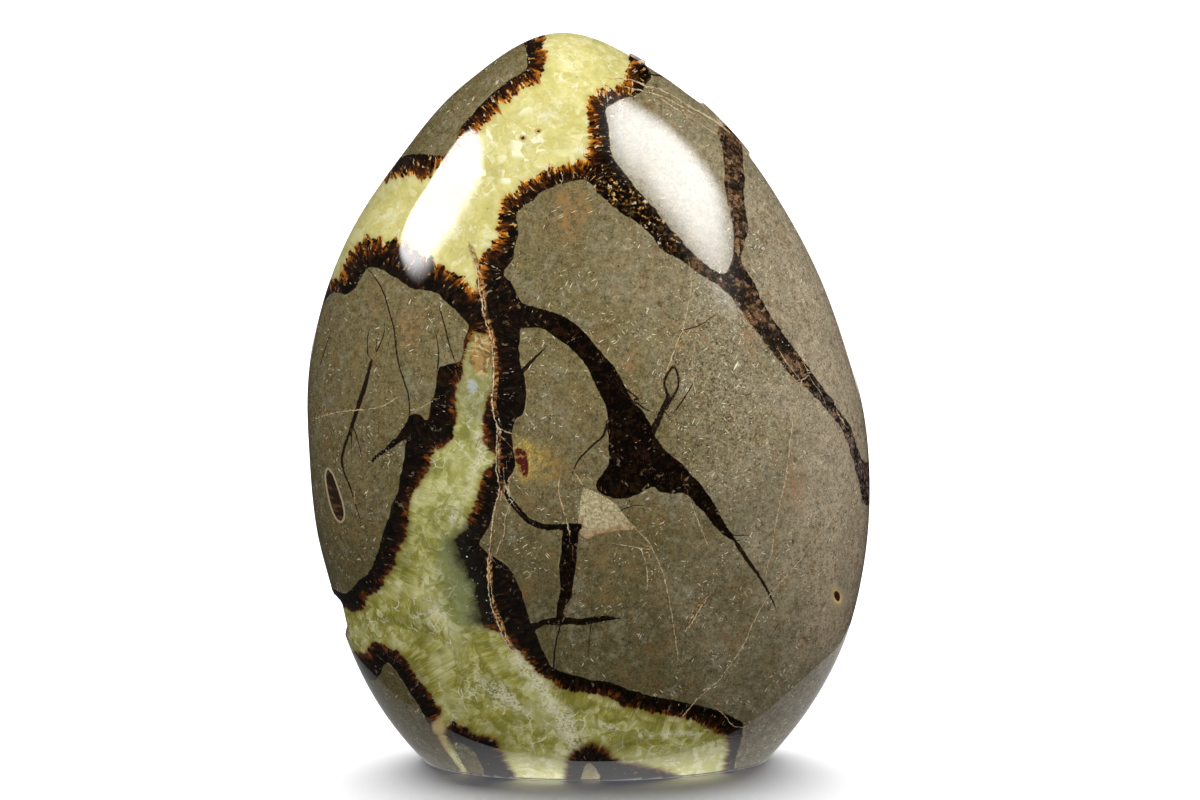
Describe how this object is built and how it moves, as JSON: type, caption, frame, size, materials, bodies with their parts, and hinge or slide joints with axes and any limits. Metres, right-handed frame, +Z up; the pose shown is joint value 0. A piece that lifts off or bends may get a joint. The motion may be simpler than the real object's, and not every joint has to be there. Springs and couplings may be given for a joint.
{
  "type": "septarian nodule",
  "caption": "Polished septarian nodule, an upright egg-shaped stone with brown-rimmed yellow calcite veins, cut flat underneath so that it stands.",
  "frame": {"origin": "on the flat base, at the middle of the stone's width and thickness", "axes": "+Z up from the flat base to the tip, +X to the right and -Y out of the front face"},
  "size_m": [0.1292, 0.0779, 0.1683],
  "materials": {
    "septarian_stone": "high polish: grey-olive limestone, dark brown aragonite rims and translucent yellow calcite veins"
  },
  "bodies": {
    "root": {"nodule": "septarian_stone"}
  },
  "joints": []
}
